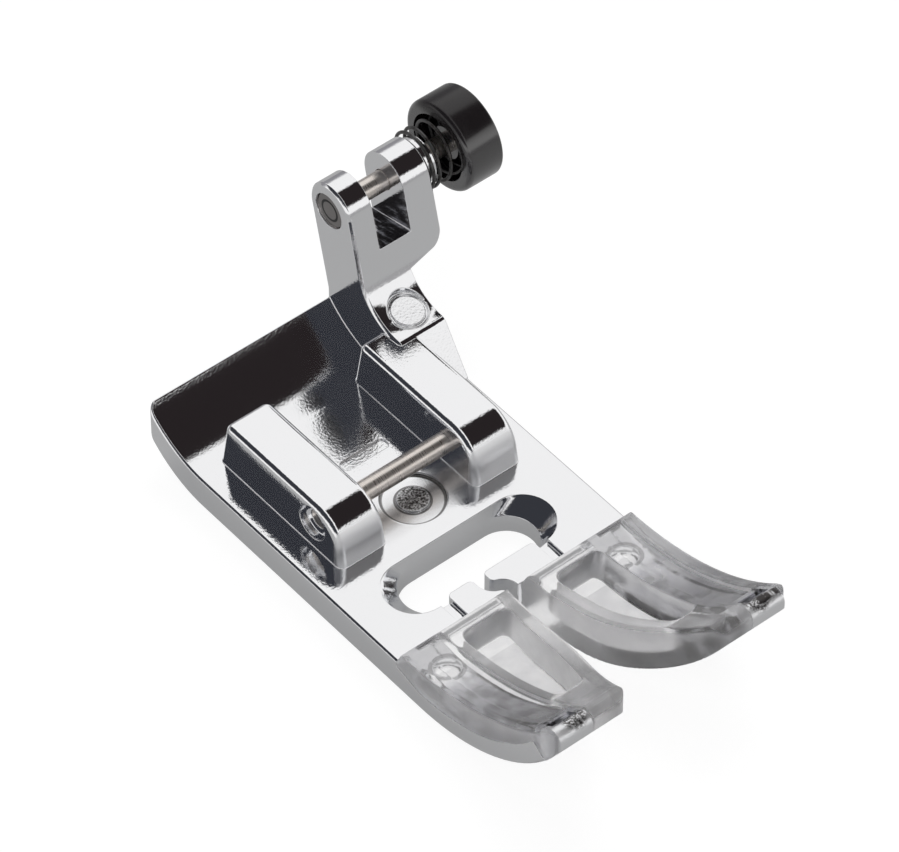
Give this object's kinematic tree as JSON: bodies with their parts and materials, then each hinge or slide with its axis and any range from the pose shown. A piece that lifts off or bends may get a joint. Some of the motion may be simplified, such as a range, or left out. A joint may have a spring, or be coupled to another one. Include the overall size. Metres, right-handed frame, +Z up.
{
  "type": "sewing machine presser foot",
  "caption": "Clip-on zigzag presser foot: chromed sole with clear curled toes, needle slot, pinned ankle seat, and a rear arm with a spring button that slides a locking pin.",
  "frame": {"origin": "on the sole's flat underside, straight below the middle of the cross pin", "axes": "+Z up from the needle plate; the toes point to -Y, towards the person sewing; the button stands on the +X side"},
  "size_m": [0.0373, 0.0605, 0.0225],
  "materials": {
    "chrome": "mirror chrome plating on a die casting",
    "clear_plastic": "clear moulded plastic, slightly grey",
    "nickel_steel": "turned and nickel plated",
    "black_plastic": "gloss black moulding",
    "spring_steel": "dark drawn wire"
  },
  "bodies": {
    "foot": {"foot_body": "chrome", "toe_insert_left": "clear_plastic", "toe_insert_right": "clear_plastic", "cross_pin": "nickel_steel", "plunger_spring": "spring_steel"},
    "plunger": {"plunger_pin": "nickel_steel", "button_cap": "black_plastic"}
  },
  "joints": [
    {"name": "button_slide", "type": "slide", "parent": "foot", "child": "plunger", "axis": [-1, 0, 0], "range_m": [0, 0.0028], "stiffness_N_per_m": 400, "springref_m": -0.003, "deforming": ["plunger_spring"]}
  ]
}
